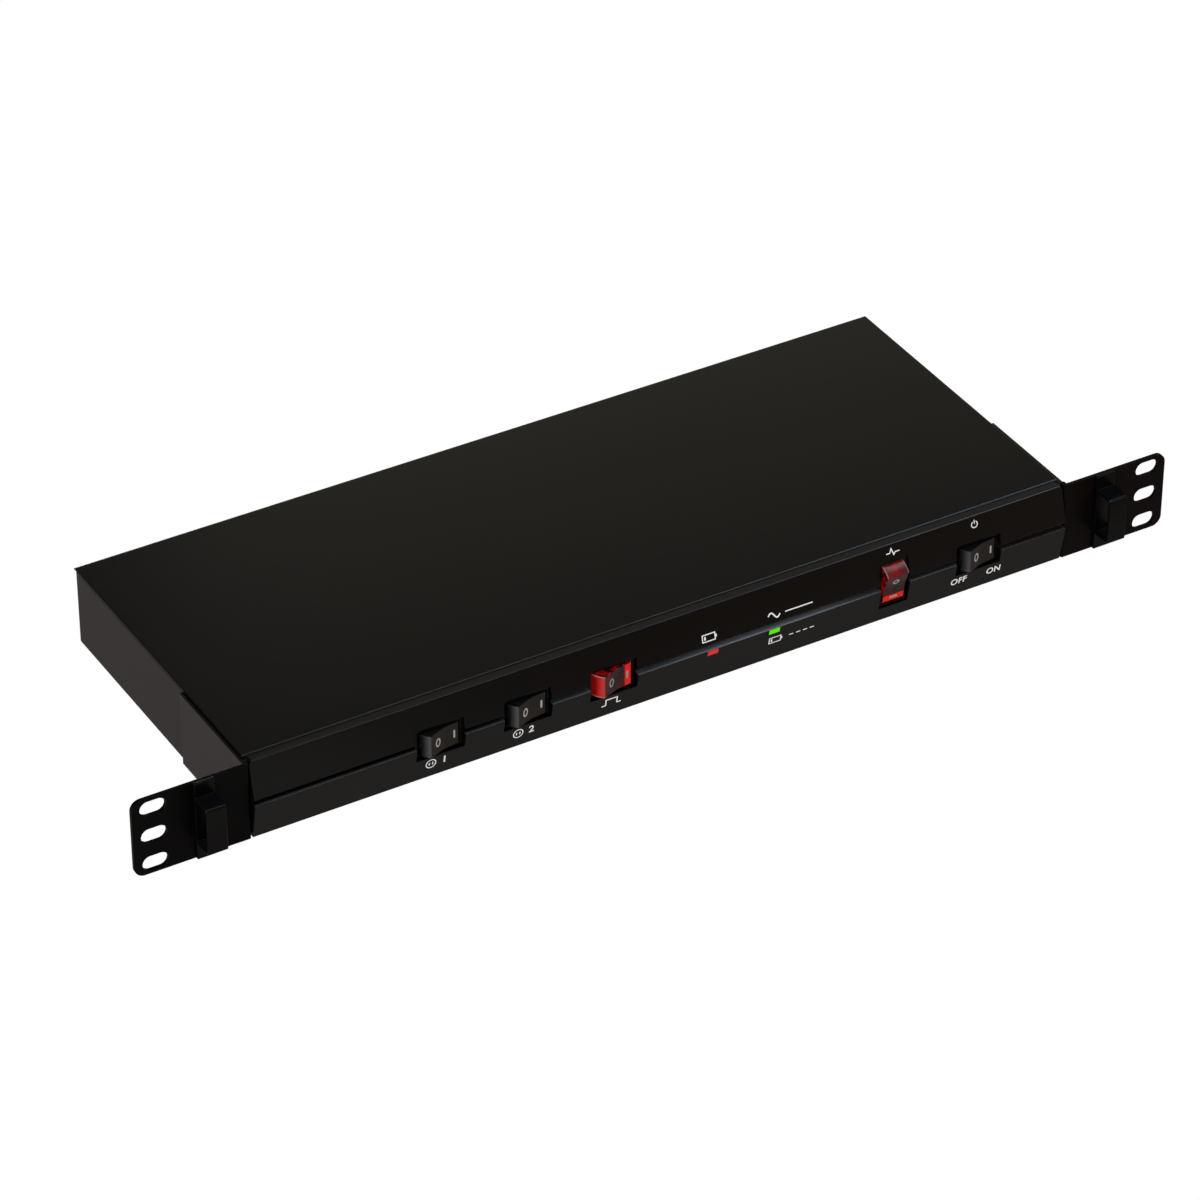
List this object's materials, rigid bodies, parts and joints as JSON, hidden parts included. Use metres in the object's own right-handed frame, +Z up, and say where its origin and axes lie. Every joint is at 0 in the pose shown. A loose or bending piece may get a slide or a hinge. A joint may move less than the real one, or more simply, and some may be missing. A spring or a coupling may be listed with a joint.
{
  "type": "rack uninterruptible power supply",
  "caption": "Low black rack power supply with folded ears and strap handles, a sloped moulded front with rocker switches and indicators, and rear power sockets.",
  "frame": {"origin": "centre of the overall box, on the underside of the base", "axes": "+X along the front panel to the right as seen from the front, +Y from the front to the back, +Z up"},
  "size_m": [0.5842, 0.2084, 0.044],
  "materials": {
    "black_steel": "fine satin powder coat, black",
    "handle_black": "satin black coat",
    "bezel_black": "fine moulded texture, satin",
    "switch_black": "smooth moulded, satin",
    "rocker_black": "smooth moulded, satin",
    "rocker_red": "clear red cap, smooth",
    "lens_red": "clear red, smooth",
    "lens_green": "clear green, smooth",
    "zinc": "zinc plated",
    "screw_black": "black plated",
    "brass_plate": "nickel plated brass",
    "socket_black": "moulded, satin",
    "board_green": "solder mask, satin",
    "fan_black": "moulded, satin",
    "sink_aluminium": "extruded, natural",
    "package_black": "moulded epoxy, matt",
    "capacitor_sleeve": "shrink sleeve, satin",
    "relay_blue": "moulded case, satin",
    "lamination": "stacked laminations, varnished",
    "winding_tape": "yellow tape over the winding",
    "pack_case": "moulded battery case, matt",
    "emitter": "clear moulded"
  },
  "bodies": {
    "chassis": {"bank_one_switch_housing": "switch_black", "bank_two_switch_housing": "switch_black", "battery_pack_one": "pack_case", "battery_pack_two": "pack_case", "battery_strap": "zinc", "bezel_screws": "zinc", "board_posts": "zinc", "board_screws": "zinc", "breaker_nut": "switch_black", "bypass_switch_housing": "switch_black", "capacitors": "capacitor_sleeve", "changeover_relays": "relay_blue", "chassis_tray": "black_steel", "cover_screws": "screw_black", "earth_nut": "zinc", "earth_stud": "zinc", "fan_frame": "fan_black", "fan_screws": "screw_black", "floor_screws": "zinc", "front_bezel": "bezel_black", "green_lens": "lens_green", "handle_screws": "screw_black", "heat_sink": "sink_aluminium", "indicator_board": "board_green", "indicator_posts": "zinc", "indicator_screws": "zinc", "inlet_contacts": "brass_plate", "inlet_nuts": "zinc", "inlet_screws": "screw_black", "left_ear": "black_steel", "left_handle": "handle_black", "light_emitters": "emitter", "main_switch_housing": "switch_black", "mains_inlet": "socket_black", "outlet_bank_one": "socket_black", "outlet_bank_two": "socket_black", "power_board": "board_green", "power_transistors": "package_black", "red_lens": "lens_red", "reset_breaker": "socket_black", "right_ear": "black_steel", "right_handle": "handle_black", "switch_terminals": "brass_plate", "test_switch_housing": "switch_black", "top_cover": "black_steel", "transformer_bracket": "zinc", "transformer_core": "lamination", "transformer_winding": "winding_tape"},
    "bank_one_rocker": {"bank_one_rocker": "rocker_black"},
    "bank_two_rocker": {"bank_two_rocker": "rocker_black"},
    "bypass_rocker": {"bypass_rocker": "rocker_red"},
    "test_rocker": {"test_rocker": "rocker_red"},
    "main_rocker": {"main_rocker": "rocker_black"},
    "breaker_button": {"breaker_button": "rocker_black"},
    "fan_rotor": {"fan_rotor": "fan_black"}
  },
  "joints": [
    {"name": "bank_one_rock", "type": "hinge", "parent": "chassis", "child": "bank_one_rocker", "pos_m": [-0.1298, -0.0873, 0.0215], "axis": [0, 0, -1], "range_deg": [0, 30]},
    {"name": "bank_two_rock", "type": "hinge", "parent": "chassis", "child": "bank_two_rocker", "pos_m": [-0.0818, -0.0873, 0.0215], "axis": [0, 0, -1], "range_deg": [0, 30]},
    {"name": "bypass_rock", "type": "hinge", "parent": "chassis", "child": "bypass_rocker", "pos_m": [-0.0338, -0.0873, 0.0215], "axis": [0, 0, -1], "range_deg": [0, 30]},
    {"name": "test_rock", "type": "hinge", "parent": "chassis", "child": "test_rocker", "pos_m": [0.1281, -0.0873, 0.0215], "axis": [-1, 0, 0], "range_deg": [0, 30]},
    {"name": "main_rock", "type": "hinge", "parent": "chassis", "child": "main_rocker", "pos_m": [0.1779, -0.0873, 0.0215], "axis": [0, 0, -1], "range_deg": [0, 30]},
    {"name": "breaker_trip", "type": "slide", "parent": "chassis", "child": "breaker_button", "axis": [0, 1, 0], "range_m": [0, 0.003]},
    {"name": "fan_spin", "type": "hinge", "parent": "chassis", "child": "fan_rotor", "pos_m": [-0.165, 0.0865, 0.0215], "axis": [0, 1, 0], "continuous": true}
  ]
}
